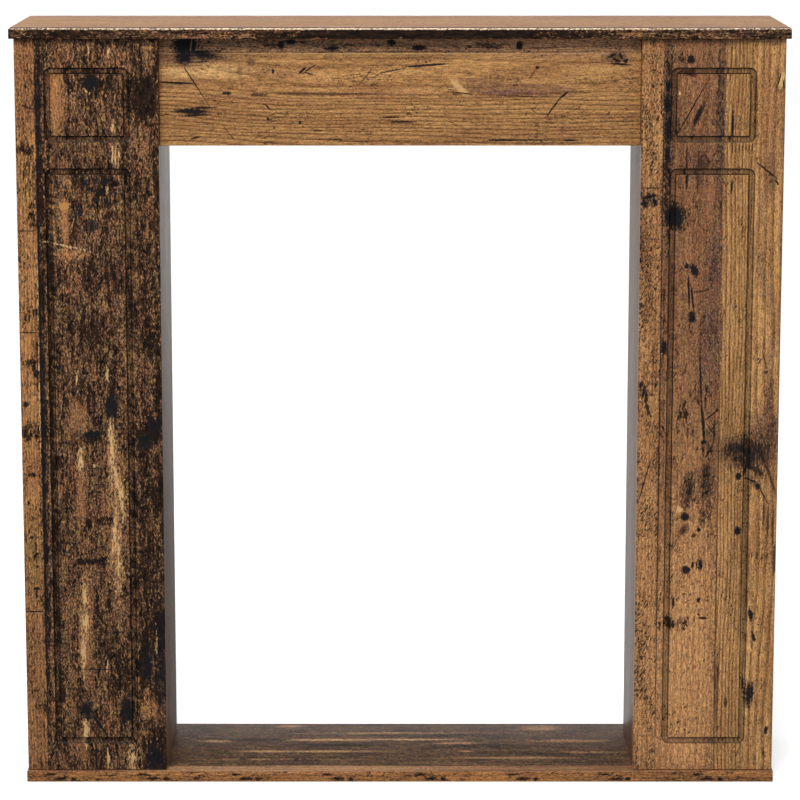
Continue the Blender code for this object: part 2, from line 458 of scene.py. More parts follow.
# %% [markdown]
# ## Specks, soot and grit
#
# Old planks are speckled at every size: short fibres, rusty and plum specks, pores, flecks of soot that run
# together into clouds, and dust. One noise can't show that, so each has its own noise with its own size.
# Soot is a sum of four noises with one threshold, which makes its flecks join and break up as real ones do.
# The finest grain of the print is well under a millimetre, and a pixel of the picture covers 1.35 mm, so
# fibres, pores, flecks and grit are drawn about 2 mm wide to show.

# %% Draw specks, soot and grit
WARM_SPECKS = ("#96502b", "#a6813c")  # rust and gold
COOL_SPECKS = "#46302a"
PORES = "#2c1607"
SOOT = ("#120e0d", "#2c1a0e")
SOOT_WEIGHT = 5.0  # how much a plank's own soot counts beside the noises
SOOT_SHOWS = (1.7, 3.6)  # the sums at which soot begins to show and covers the wood
DARK_GRIT = "#1d0d04"
PALE_GRIT = "#cfae88"


def speckle(foil, planks, colour, turn):
    """Adds fibres, rusty and plum specks, and pores that can slant by turn degrees."""
    fibre = foil.blots(0.52, 1.32, 1.7, 13.0, seed=5.0, rough=0.7)
    fibre = foil.add("CombineXYZ", fibre, fibre, fibre)
    colour = foil.add("Mix", 1.0, colour, fibre, blend_type="MULTIPLY", **COLOUR)

    hues = by_plank(foil, planks, "hues", 0.5)
    warm = foil.add("Mix", foil.blots(-0.4, 1.4, 14.0, 50.0, seed=21.0, detail=3.0), *WARM_SPECKS, **COLOUR)
    for tint, across, along, seed in ((warm, 4.0, 9.0, 15.0), (COOL_SPECKS, 3.5, 8.0, 17.0)):
        shown = foil.blots(-0.6, 1.0, across, along, seed, detail=3.0, rough=0.6)
        shown = foil.add("Math", shown, hues, operation="MULTIPLY", use_clamp=True)
        colour = foil.add("Mix", shown, colour, tint, **COLOUR)

    pores = foil.blots(-0.3, 1.0, 2.3, 6.0, seed=16.0, rough=0.6, turn=turn, curl=0.9, clamp=False)
    crowd = foil.blots(-0.5, 0.24, 24.0, 60.0, seed=20.0, detail=3.0)
    crowd = foil.add("Math", by_plank(foil, planks, "specks", 0.33), crowd, operation="ADD")
    pores = foil.add("Math", pores, crowd, operation="ADD")
    pores = foil.add("MapRange", pores, 1.0, 1.25, 0.0, 0.9, **SOFT)
    return foil.add("Mix", pores, colour, PORES, **COLOUR)


def blacken(foil, planks, colour, sooty, clean):
    """Lays soot over the wood, more at the sooty marks and less at the clean ones, and grit over both."""
    level = foil.blots(-0.85, 0.85, 2.2, 5.0, seed=6.0, rough=0.65, curl=0.7, clamp=False)
    patches = foil.blots(-0.85, 0.85, 5.5, 14.0, seed=19.0, detail=3.0, rough=0.65, curl=0.8, clamp=False)
    streaks = foil.blots(-0.5, 0.5, 3.4, 60.0, seed=7.0, detail=3.0, rough=0.6, clamp=False)
    clouds = foil.blots(-0.55, 0.55, 22.0, 60.0, seed=8.0, detail=4.0, rough=0.6, clamp=False)
    for layer in (patches, streaks, clouds):
        level = foil.add("Math", level, layer, operation="ADD")
    level = foil.add("Math", by_plank(foil, planks, "soot"), SOOT_WEIGHT, level, operation="MULTIPLY_ADD")
    ragged = foil.blots(-0.45, 0.45, 5.0, 9.0, seed=9.0, detail=3.0, rough=0.6, curl=1.0, clamp=False)
    for rows, operation in ((sooty, "ADD"), (clean, "SUBTRACT")):
        if rows:
            level = foil.add("Math", level, foil.marks(ragged, rows), operation=operation)
    soot = foil.add("MapRange", level, *SOOT_SHOWS, 0.0, 1.0, **SOFT)
    tint = foil.add("Mix", foil.blots(-0.3, 1.3, 5.0, 12.0, seed=10.0), *SOOT, **COLOUR)
    colour = foil.add("Mix", soot, colour, tint, **COLOUR)

    grit = foil.blots(-1.0, 1.0, 1.9, 3.2, seed=18.0, detail=1.0, rough=0.6, clamp=False)
    grit = foil.add("Math", grit, by_plank(foil, planks, "grit"), operation="MULTIPLY")
    dark = foil.add("Math", grit, -1.0, operation="MULTIPLY", use_clamp=True)
    colour = foil.add("Mix", dark, colour, DARK_GRIT, **COLOUR)
    kept = foil.add("MapRange", soot, 0.3, 1.0, 0.5, 0.015)  # soot hides the pale grit
    pale = foil.add("Math", grit, kept, operation="MULTIPLY", use_clamp=True)
    return foil.add("Mix", pale, colour, PALE_GRIT, **COLOUR)


print("soot begins to show at a sum of", SOOT_SHOWS[0], "and hides the wood at", SOOT_SHOWS[1])

# %% [markdown]
# ## Marks and the finished foil
#
# The print's larger stains, holes, cracks and scratches lie at set places, so they are lists of ovals,
# painted in one colour each. A picture could hold them, but ovals stay sharp at any size and are easily
# moved. The foil itself is printed paper under a thin, satin resin. Its shader has a roughness of about 0.4
# and very shallow pores, which give the eye soft, broad highlights that break up along the grain.

# %% Paint marks and finish the foil
TONE_RAGGED = 0.5  # how ragged the edges of a change of tone are
# Colour and cover of the painted shade laid into the routed grooves
PAINTED_GROOVE_SHADE = "#0e0a06"
PAINTED_SHADE_COVER = 0.92
SATIN = (0.36, 0.48)  # roughness
PORE_DEPTH = 0.00008  # metres
PORE_STRENGTH = 0.25


def paint(foil, colour, stain, strength, rows, ragged_by=0.3, ragged_along=3.8):
    """Paints marks of one colour over the wood. Their edges can be ragged along the grain."""
    ragged = foil.add("Math", foil.raggedness(ragged_along), ragged_by, operation="MULTIPLY")
    mask = foil.add("Math", foil.marks(ragged, rows), strength, operation="MULTIPLY")
    return foil.add("Mix", mask, colour, stain, **COLOUR)


def old_planks(foil, planks, sooty=(), clean=(), tones=(), speck_turn=0.0, **rings):
    """The print of old planks: base colour, growth rings, fibres, specks, soot and grit.

    sooty and clean are soft marks where the soot is thicker or thinner. tones are (colour, strength, marks)
    where the bare wood has another colour, and perhaps how ragged. rings are for growth_rings.
    """
    lay_planks(foil, planks)
    tone = foil.blots(-0.2, 1.2, 16.0, 150.0, seed=1.0, detail=5.0, rough=0.62)
    colour = foil.add("Mix", tone, by_plank(foil, planks, "light"), by_plank(foil, planks, "deep"), **COLOUR)
    for stain, strength, rows, *ragged_by in tones:
        colour = paint(foil, colour, stain, strength, rows, *(ragged_by or [TONE_RAGGED]))
    late = growth_rings(foil, planks, **rings)
    colour = foil.add("Mix", late, colour, by_plank(foil, planks, "ring"), **COLOUR)
    colour = speckle(foil, planks, colour, speck_turn)
    return blacken(foil, planks, colour, sooty, clean)


def finish(foil, colour):
    """Paints shade into the grooves and connects the print to the shader of a satin foil."""
    links = foil.tree.links
    # Painted shade: the groove attribute darkens the print in the grooves' corners and on their floors
    groove = foil.add("Attribute", attribute_name="groove", out="Fac")
    groove = foil.add("Math", groove, PAINTED_SHADE_COVER, operation="MULTIPLY")
    colour = foil.add("Mix", groove, colour, PAINTED_GROOVE_SHADE, **COLOUR)
    links.new(colour, foil.shader.inputs["Base Color"])
    satin = foil.blots(*SATIN, 3.0, 30.0, seed=13.0, detail=3.0, rough=0.6)
    links.new(satin, foil.shader.inputs["Roughness"])
    pores = foil.blots(0.0, 1.0, 1.6, 20.0, seed=14.0, detail=3.0, rough=0.6)
    bump = foil.add("Bump", PORE_STRENGTH, PORE_DEPTH, 1.0, pores)
    links.new(bump, foil.shader.inputs["Normal"])
    return foil.material


print("the foil's pores are", round(PORE_DEPTH / MM, 2), "mm deep")

# %% [markdown]
# ## Boards
#
# A foil-wrapped board never has a knife edge: the foil turns over a tiny radius that catches the light.
# Each board is a box taken from its CAD node, with every edge bevelled.

# %% Shape boards
SHARP_ANGLE = math.radians(35.0)
FINE_EDGE = 0.0005
FINE_SEGMENTS = 3
MANTEL_EDGE = 0.003
MANTEL_SEGMENTS = 8


def box_of(node):
    """A bmesh box that fills a CAD node's box."""
    low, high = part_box(node)
    mesh = bmesh.new()
    bmesh.ops.create_cube(mesh, size=1.0)
    bmesh.ops.scale(mesh, vec=high - low, verts=mesh.verts)
    bmesh.ops.translate(mesh, vec=(low + high) / 2, verts=mesh.verts)
    return mesh


def bevel(mesh, geom, radius, segments, affect="EDGES"):
    """Rounds edges, or the corners of a flat face, to a quarter circle."""
    bmesh.ops.bevel(
        mesh, geom=geom, offset=radius, segments=segments, profile=0.5, affect=affect, material=-1
    )


def make_piece(name, mesh, node, material):
    """Turns a bmesh into a piece that stands for a CAD node."""
    bmesh.ops.recalc_face_normals(mesh, faces=mesh.faces)
    data = bpy.data.meshes.new(name)
    mesh.to_mesh(data)
    mesh.free()
    data.shade_smooth()
    data.set_sharp_from_angle(angle=SHARP_ANGLE)
    data.materials.append(material)
    piece = bpy.data.objects.new(name, data)
    bpy.context.scene.collection.objects.link(piece)
    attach(piece, "root")
    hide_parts(node)
    print(name, "has", len(data.polygons), "faces")


def plain_board(name, node, material):
    """A board with a fine radius on all its edges."""
    mesh = box_of(node)
    bevel(mesh, list(mesh.edges), FINE_EDGE, FINE_SEGMENTS)
    make_piece(name, mesh, node, material)


def mantel_board(material):
    """The mantel, whose upper front and side edges are rounded for the hand."""
    mesh = box_of("mantel_board")
    low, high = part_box("mantel_board")
    upper = [e for e in mesh.edges if all(v.co.z > high.z - MM for v in e.verts)]
    back = [e for e in upper if all(v.co.y > high.y - MM for v in e.verts)]
    bevel(mesh, [e for e in upper if e not in back], MANTEL_EDGE, MANTEL_SEGMENTS)
    lower = [e for e in mesh.edges if all(v.co.z < low.z + MM / 2 for v in e.verts)]
    bevel(mesh, lower, FINE_EDGE, FINE_SEGMENTS)
    make_piece("mantel", mesh, "mantel_board", material)

# %% [markdown]
# ## Pillar fronts
#
# Each pillar front has two routed frames: grooves of 8.8 mm with a straight inner wall and a hollow outer
# wall, cut before the foil was pressed on. A Boolean could cut them, but it leaves ragged faces. Here the
# front face gets a rounded opening, and the groove is inset into it step by step along its profile. Each
# step also writes how dark the groove is painted there: painted shade for its corners and its floor.

# %% Rout the frames
FRAME_MARGIN = 0.038
UPPER_FRAME = 0.0995
FRAME_SPACING = 0.034
GROOVE_WIDTH = 0.0088
GROOVE_DEPTH = 0.003
COVE = 0.0025
LIP = 0.0006
CORNER_SEGMENTS = 12
COVE_SEGMENTS = 8
LIP_SEGMENTS = 3
PANEL_EDGE = 0.002
PANEL_SEGMENTS = 6
# How dark the groove is painted, as painted shade, on its floor, in its corners and on its inner lip
FLOOR_PAINTED_SHADE = 0.42
CORNER_PAINTED_SHADE = 0.95
INNER_LIP_PAINTED_SHADE = 0.7
PAINTED_SHADE_WIDTH = 0.0010  # of the dark line along the inner wall's foot
PAINTED_SHADE_FADE = 0.0004
BIG_FACE = 0.01  # square metres: only the panel's two main front faces are larger


def groove_profile():
    """The groove from its outer lip to its inner one, as (inset, depth, painted shade) points."""
    quarter = math.pi / 2
    lip_turns = [quarter * (i + 1) / LIP_SEGMENTS for i in range(LIP_SEGMENTS)]
    cove_turns = [quarter * (i + 1) / COVE_SEGMENTS for i in range(COVE_SEGMENTS)]
    outer_lip = [(LIP * math.sin(t), LIP * (1 - math.cos(t)), CORNER_PAINTED_SHADE) for t in lip_turns]
    wall_foot = GROOVE_DEPTH - COVE
    cove = []
    for turn in cove_turns:
        painted_shade = CORNER_PAINTED_SHADE + (FLOOR_PAINTED_SHADE - CORNER_PAINTED_SHADE) * turn / quarter
        cove.append((LIP + COVE * (1 - math.cos(turn)), wall_foot + COVE * math.sin(turn), painted_shade))
    painted_shade_at = GROOVE_WIDTH - PAINTED_SHADE_WIDTH
    corner = [(painted_shade_at - PAINTED_SHADE_FADE, GROOVE_DEPTH, FLOOR_PAINTED_SHADE), (painted_shade_at, GROOVE_DEPTH, CORNER_PAINTED_SHADE),
              (GROOVE_WIDTH, GROOVE_DEPTH, CORNER_PAINTED_SHADE)]
    wall = [(GROOVE_WIDTH, LIP, CORNER_PAINTED_SHADE)]
    inner_lip = []
    for turn in lip_turns:
        inset = GROOVE_WIDTH + LIP * (1 - math.cos(turn))
        inner_lip.append((inset, LIP * (1 - math.sin(turn)), INNER_LIP_PAINTED_SHADE * math.cos(turn)))
    return outer_lip + [(LIP, wall_foot, CORNER_PAINTED_SHADE)] + cove + corner + wall + inner_lip


def frame_face(mesh, low_x, high_x, low_z, high_z, y):
    """A face with round corners, in the panel's front."""
    corners = [(low_x, y, low_z), (high_x, y, low_z), (high_x, y, high_z), (low_x, y, high_z)]
    verts = [mesh.verts.new(corner) for corner in corners]
    mesh.faces.new(verts)
    bevel(mesh, verts, GROOVE_WIDTH + 2 * LIP, CORNER_SEGMENTS, "VERTICES")
    middle = Vector(((low_x + high_x) / 2, y, (low_z + high_z) / 2))
    return min(mesh.faces, key=lambda face: (face.calc_center_median() - middle).length)


def rout_frame(mesh, front_face, box):
    """Opens the front face and insets one groove along its profile. box is for frame_face."""
    groove = mesh.verts.layers.float["groove"]
    rim = list(front_face.edges)
    opening = frame_face(mesh, *box)
    bmesh.ops.delete(mesh, geom=[front_face], context="FACES_ONLY")
    edges = rim + list(opening.edges)
    bmesh.ops.triangle_fill(mesh, use_beauty=True, use_dissolve=True, edges=edges, normal=(0, -1, 0))
    inset, depth = 0.0, 0.0
    for next_inset, next_depth, painted_shade in groove_profile():
        bmesh.ops.inset_region(
            mesh, faces=[opening], use_boundary=True, use_even_offset=True,
            thickness=next_inset - inset, depth=depth - next_depth
        )
        # Each step writes the painted shade for its ring of the groove
        for vert in opening.verts:
            vert[groove] = painted_shade
        inset, depth = next_inset, next_depth


def pillar_front(side, material):
    """One pillar's front panel."""
    node = side + "_pillar_front"
    low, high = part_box(node)
    mesh = box_of(node)
    mesh.verts.layers.float.new("groove")
    front = [e for e in mesh.edges if all(v.co.y < low.y + MM for v in e.verts)]
    bevel(mesh, front, PANEL_EDGE, PANEL_SEGMENTS)
    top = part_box("mantel_board")[0].z - FRAME_MARGIN
    middle = top - UPPER_FRAME
    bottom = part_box("base_board")[1].z + FRAME_MARGIN
    cut = (0.0, 0.0, middle - FRAME_SPACING / 2)
    everything = list(mesh.verts) + list(mesh.edges) + list(mesh.faces)
    bmesh.ops.bisect_plane(mesh, geom=everything, plane_co=cut, plane_no=(0, 0, 1))
    for low_z, high_z in ((middle, top), (bottom, middle - FRAME_SPACING)):
        centre_z = (low_z + high_z) / 2
        fronts = [f for f in mesh.faces if f.normal.y < -0.999 and f.calc_area() > BIG_FACE]
        front_face = min(fronts, key=lambda face: abs(face.calc_center_median().z - centre_z))
        rout_frame(mesh, front_face, (low.x + FRAME_MARGIN, high.x - FRAME_MARGIN, low_z, high_z, low.y))
    make_piece(side + "_front", mesh, node, material)

# %% [markdown]
# ## The header's print
#
# A pale pine plank fills most of the header. Its close, straight rings below open into wide arcs above, as
# where a saw cuts near the middle of a trunk. A narrow sooty plank lies above it, with a large black stain.
# Each mark is a row: millimetres to the right and down, width and height, and perhaps turn, fade and
# amount.

# %% Header
HEADER_JOINT = 19.0  # mm down from the header's top
RINGS_OPEN_AT = 74.0


def header_print():
    """Pale pine below, a sooty grey plank above."""
    foil = Foil("header_printed_foil", "header_board", "xz+y", "right")
    planks = [
        {"to": HEADER_JOINT, "light": "#b08059", "deep": "#825b40", "ring": "#33221a", "rings": 0.7,
         "rings_per_mm": 0.28, "soot": 0.22, "specks": 1.0, "grit": 0.42, "hues": 1.0},
        {**PINE, "light": "#b1824b", "deep": "#936538"},
    ]
    sooty = [
        (438, 10, 44, 11, 0, 0.5, 2.2), (230, 13, 30, 10, 0, 0.5, 1.4), (150, 10, 400, 24, 0, 0.6, 1.2),
        (40, 27, 70, 22, 0, 0.6, 1.5), (68, 10, 44, 20, 0, 0.5, 1.0), (180, 10, 30, 16, 0, 0.5, 0.8),
        (90, 26, 40, 16, 0, 0.6, 1.0),
    ]
    clean = [(560, 10, 200, 22, 0, 0.6, 1.2), (10, 12, 22, 22, 0, 0.5, 0.6)]
    tones = [
        ("#83563a", 0.5, [(134, 40, 90, 16, 12, 0.6), (533, 123, 22, 16, 0, 0.5)]),
        ("#7d5538", 0.85, [(474, 67.5, 164, 17, 2, 0.1), (440, 60, 84, 9, 8, 0.1)], 0.15),
        ("#bd8a60", 0.85, [(530, 10, 250, 24, 0, 0.6)]),
        ("#66443a", 0.8, [(466, 73, 74, 8, 1, 0.4), (606, 27, 32, 15, 0, 0.4)]),
        ("#5a3b2c", 0.85, [(50, 27, 100, 18, 0, 0.6), (8, 26, 30, 18, 0, 0.6)]),
        ("#c9a067", 0.6, [(70, 44, 90, 18, 0, 0.6), (30, 46, 50, 14, 0, 0.6)]),
        ("#8a5a3c", 0.5, [(110, 80, 200, 8, 3, 0.6), (300, 74, 160, 7, 0, 0.6)]),
    ]
    colour = old_planks(foil, planks, sooty, clean, tones, sweeps=[(0, 110, -13)], open_at=RINGS_OPEN_AT,
                        dips=[(380, 260, 12), (222, 92, 7)])
    light = [(398, 66, 32, 8, 42, 0.5), (303, 20.8, 640, 1.3, 0, 0.5)]
    colour = paint(foil, colour, "#c79e68", 0.65, light)
    dark_brown = [
        (190, 73.5, 84, 4.0, 1, 0.6), (132, 75, 24, 5), (230, 74, 120, 2.4, 0, 0.6),
        (605, 25, 22, 11, 0, 0.6, 0.6), (52, 68, 46, 1.4, 57), (92, 126, 26, 1.3, 52),
        (275, 50, 27, 1.4, -50), (495, 48, 18, 1.4, -60), (496, 93, 8, 1.8, -20), (497, 97, 8, 1.6, 35),
        (500, 113, 8, 1.8, 10), (501, 116, 6, 1.4, -30), (500, 122, 6, 1.4, 30), (501, 127, 5, 1.8, -40),
        (107, 45, 7, 12, 0, 0.5, 0.6), (122, 31, 12, 10, 0, 0.5, 0.6), (508, 13, 44, 1.6),
        (479, 77, 70, 1.8, 2, 0.5), (303, 18.3, 640, 1.2, 0, 0.5, 0.7),
    ]
    colour = paint(foil, colour, "#3a2316", 0.85, dark_brown)
    black = [
        (36, 10, 36, 34, 0, 0.3), (33, 25, 24, 24, 0, 0.5), (58, 21, 40, 12, 8, 0.6), (162, 10, 9, 9),
        (175, 5, 12, 7), (230, 14, 18, 6, 0, 0.5), (308, 6, 12, 8), (344, 13, 19, 7), (477, 10, 9, 12),
        (90, 73, 12, 4.5, 0, 0.4), (56, 92.5, 34, 3, -2, 0.5), (42, 97, 46, 8, 2, 0.35),
        (48, 102, 36, 4, -2, 0.5), (42, 52, 40, 1.7, 57), (24, 59.5, 52, 3.2, 3, 0.4),
        (190, 43, 13, 3.6, -40), (197, 46.5, 15, 2, 15), (199, 41, 24, 1.7, -35), (151, 44, 4, 6),
        (307, 43.5, 36, 1.7, -11), (354, 36, 62, 3, -4), (143.5, 91, 11, 2.4, 45), (186, 112, 4, 4),
        (144, 107, 4, 4), (48, 132, 14, 2.4, -15), (211, 123, 16, 2), (233, 134, 20, 1.7),
        (306, 105, 24, 2.2), (322, 111, 34, 2.6), (501, 39, 5, 4), (523, 91, 34, 2.2, -53),
        (536, 76, 18, 2.6, -40), (455, 135.3, 44, 2.8), (478, 135.3, 70, 1.8), (545, 135.3, 26, 2.6),
        (505, 135.3, 110, 1.3), (600, 23, 10, 4, -30), (605, 29, 12, 3, 25), (612, 24, 9, 4, 55),
        (618, 30, 7, 5), (611, 34.6, 30, 2.8, 5), (402, 73, 28, 1.8, 7),
    ]
    colour = paint(foil, colour, "#131419", 0.97, black)
    scratches = [(242, 10, 21, 1.4, -48), (43, 9, 1.8, 17, 8), (51, 9, 1.2, 14, 12)]
    return finish(foil, paint(foil, colour, "#8f7460", 0.5, scratches))


plain_board("header", "header_board", header_print())

# %% [markdown]
# ## The left pillar's print
#
# A narrow tan strip runs down the outer edge. The wide plank beside it is the darkest of all: its wood
# shows only between thousands of small flecks of soot, which run together into black clouds in places.

# %% Left pillar front
LEFT_STRIP = 26.0  # mm wide


def left_print():
    """A tan strip and a wide plank black with soot."""
    foil = Foil("left_front_printed_foil", "left_pillar_front", "xz+y", "up")
    planks = [
        {"to": LEFT_STRIP, "light": "#c18448", "deep": "#966036", "ring": "#50280f", "rings": 0.7,
         "rings_per_mm": 0.22, "soot": 0.37, "specks": 1.3, "grit": 0.3, "hues": 0.9},
        {**SOOTY},
    ]
    sooty = [
        (30, 400, 10, 900, 0, 0.5, 0.9), (43, 500, 8, 900, 0, 0.5, 0.7), (171, 79, 36, 66, 0, 0.4, 1.3),
        (187, 500, 12, 990, 0, 0.6, 0.6), (178, 405, 22, 34, 0, 0.4, 1.3), (172, 530, 36, 40, 0, 0.4, 1.6),
        (178, 845, 26, 140, 0, 0.5, 0.9), (94, 534, 24, 16, 0, 0.5, 1.6), (175, 968, 26, 70, 0, 0.5, 1.0),
        (124, 859, 30, 60, 0, 0.5, 0.7), (113, 650, 40, 12, 0, 0.5, 1.0), (100, 60, 60, 30, 0, 0.5, 0.9),
        (90, 706, 36, 9, 0, 0.5, 1.0), (110, 190, 60, 50, 0, 0.6, 0.9), (98, 400, 50, 90, 0, 0.6, 0.5),
        (88, 430, 70, 230, 0, 0.7, 0.35), (170, 290, 34, 360, 0, 0.6, 0.25),
        (170, 720, 34, 440, 0, 0.6, 0.6), (181, 800, 16, 60, 0, 0.4, 1.2), (162, 855, 18, 70, 0, 0.4, 1.2),
        (12, 146, 26, 14, 0, 0.5, 1.7), (21, 234, 10, 34, 0, 0.5, 1.6), (12, 527, 26, 22, 0, 0.5, 1.5),
        (12, 587, 24, 6, 0, 0.5, 1.2), (13, 432, 24, 10, 0, 0.5, 1.2), (24, 470, 5, 900, 0, 0.6, 0.7),
        (10, 700, 20, 60, 0, 0.6, 0.6), (18, 910, 18, 14, 0, 0.5, 1.4),
    ]
    clean = [
        (56, 88, 19, 88, 0, 0.4, 1.2), (13, 305, 32, 104, 0, 0.4, 0.6), (62, 222, 18, 20, 0, 0.4, 1.1),
        (64, 249, 12, 44, 0, 0.5, 0.8), (74, 506, 26, 50, 0, 0.5, 1.1), (80, 610, 14, 70, 0, 0.5, 1.1),
        (120, 530, 8, 60, 2, 0.5, 1.1), (122, 565, 14, 60, 3, 0.6, 1.2), (129, 612, 20, 60, -8, 0.6, 1.4),
        (126, 670, 16, 80, 4, 0.6, 1.3), (118, 640, 34, 60, 0, 0.6, 0.7), (78, 820, 14, 150, 0, 0.6, 0.7),
        (128, 730, 14, 80, 0, 0.5, 1.2), (84, 800, 16, 180, 0, 0.5, 1.1), (170, 912, 26, 34, 0, 0.6, 1.0),
        (78, 945, 8, 30, 0, 0.4, 1.3), (130, 150, 12, 60, 0, 0.5, 0.9), (13, 880, 24, 190, 0, 0.5, 0.4),
        (73, 287, 40, 16, 0, 0.5, 1.2),
    ]
    tones = [
        ("#b9834c", 0.7, [
            (13, 320, 28, 130, 0, 0.5), (14, 500, 14, 110, 0, 0.5), (14, 790, 16, 60, 0, 0.5, 0.3),
        ]),
        ("#a88243", 0.6, [(14, 190, 24, 70, 0, 0.6), (13, 700, 26, 120, 0, 0.6)]),
        ("#cfa068", 0.85, [
            (120, 530, 5, 60, 2, 0.5), (122, 565, 9, 60, 3, 0.5), (129, 612, 17, 60, -8, 0.5),
            (126, 670, 13, 80, 4, 0.5), (128, 725, 10, 80, 0, 0.5), (79, 568, 8, 30, 0, 0.5),
            (79, 820, 8, 130, 0, 0.5), (80, 950, 8, 40, 0, 0.5), (146, 985, 16, 50, 0, 0.6),
        ], 0.9),
        ("#b87a3e", 0.85, [
            (64, 250, 10, 44, 0, 0.5, 0.7), (168, 908, 30, 34, 0, 0.6), (73, 287, 30, 12, 0, 0.5),
            (53, 88, 12, 90, 0, 0.5),
        ]),
        ("#7b5533", 0.5, [(13, 900, 30, 230, 0, 0.3)]),
        ("#7c4a2c", 0.7, [(14, 80, 26, 150, 0, 0.6)]),
    ]
    colour = old_planks(foil, planks, sooty, clean, tones)
    brown = [(56, 84, 17, 80, 0, 0.6, 0.45), (63, 247, 9, 40, 0, 0.5, 0.5), (74, 506, 22, 36, 0, 0.7, 0.35),
             (80, 625, 9, 60, 0, 0.6, 0.35), (82, 850, 9, 60, 0, 0.6, 0.4), (77, 970, 12, 34, 0, 0.6, 0.4)]
    colour = paint(foil, colour, "#98643a", 0.85, brown, 0.6, 9.0)
    knots = [(62.3, 222, 12.5, 12.5, 0, 0.2), (48, 223, 5, 4), (177, 12, 14, 4, 0, 0.5, 0.6)]
    colour = paint(foil, colour, "#a37540", 0.85, knots)
    pale = [
        (128.3, 157, 2, 22), (132.1, 156, 2, 22), (136.2, 159, 2, 18), (129, 114, 3.5, 13),
        (125.4, 18, 2.6, 14), (99, 12, 1.4, 16), (64, 275, 40, 1.8, 12), (95, 69, 9, 1.8, 40),
        (99, 72, 7, 1.8, -50), (119, 520, 2.4, 30, 2), (121.5, 552, 3, 44, 3), (128, 596, 3, 50, -10),
        (135, 628, 2.4, 40), (123, 668, 3, 46, 4), (121, 199, 2, 10, 0, 0.3, 0.6), (117, 448, 3, 18),
        (76, 456, 2.4, 18), (97.5, 574, 4, 4), (79, 568, 6, 22), (81, 752, 5, 22), (83, 790, 7, 18),
        (79, 832, 5, 26), (80, 945, 5, 26), (110, 985, 2.4, 20), (143, 985, 5, 24), (178, 822, 2, 34),
        (128, 705, 2.4, 60), (111, 853, 3, 14), (25.4, 480, 1.4, 90), (26, 330, 1.2, 60),
    ]
    colour = paint(foil, colour, "#d0a873", 0.65, pale, 1.3, 10.0)
    blue_black = [
        (100.5, 249, 14, 18, 0, 0.4), (84, 230, 8, 10), (92, 190, 8, 9), (105, 188, 7, 10),
        (117, 189, 9, 9), (99, 200, 8, 7), (112, 204, 9, 8), (125, 202, 6, 9), (104, 214, 8, 7),
        (119, 215, 7, 8), (165, 850, 16, 50, 4, 0.5), (183, 850, 12, 160, 0, 0.5, 0.8),
        (174, 985, 24, 44, 0, 0.5), (101, 857, 44, 2), (106, 872, 60, 1.6), (181, 518, 20, 22, 0, 0.5),
        (166, 540, 26, 16, -30, 0.6), (31, 100, 8, 140, 0, 0.5, 0.8), (30, 650, 7, 500, 0, 0.6, 0.6),
        (16, 90, 20, 3, 20),
    ]
    colour = paint(foil, colour, "#17161b", 0.85, blue_black, 0.5)
    dark = [
        (28.0, 489, 3.0, 1010, 0, 0.5), (99.6, 58, 18, 19), (13, 255, 28, 1.4), (13, 392, 28, 1.6),
        (13, 776, 28, 2), (9, 372, 2.4, 14), (14, 370, 2.4, 18), (20, 366, 2.2, 16), (22, 448, 8, 12),
        (17, 744, 10, 4), (145, 905, 8, 30, 0, 0.5), (16, 752, 3, 14), (81, 913, 19, 21, 0, 0.5),
        (83, 925, 14, 3), (8, 625, 5, 5), (121.5, 494, 19, 34, 0, 0.3), (96, 531, 24, 10, -8),
        (136.2, 914, 16, 38, 0, 0.3), (99, 936, 4, 34, -35), (93, 985, 2.6, 46), (15, 432, 12, 3, 20),
        (18, 440, 6, 10), (10, 180, 2, 20), (18, 172, 2, 14), (10, 575, 10, 2, -20), (7, 490, 8, 8),
        (11, 673, 6, 4), (88, 706, 14, 6, 20), (106, 704, 16, 6, -20),
    ]
    colour = paint(foil, colour, "#15161a", 0.96, dark)
    small_knot = [(146.7, 899, 8, 8, 0, 0.3)]
    return finish(foil, paint(foil, colour, "#6e5632", 0.9, small_knot))


pillar_front("left", left_print())

# %% [markdown]
# ## The right pillar's print
#
# Three planks stand side by side: a tan strip full of slanting specks, a russet plank with burns, holes and
# scratches, and a pale pine plank whose straight rings swing round a large smoky knot.

# %% Right pillar front
RIGHT_STRIP = 29.0  # mm from the panel's left edge to the end of each plank
RUSSET_PLANK = 109.5
STRAIGHT_PINE = 149.0
KNOT = (152, 552, 13.0)  # its place and its radius
SLANT = 32.0  # degrees, of the specks


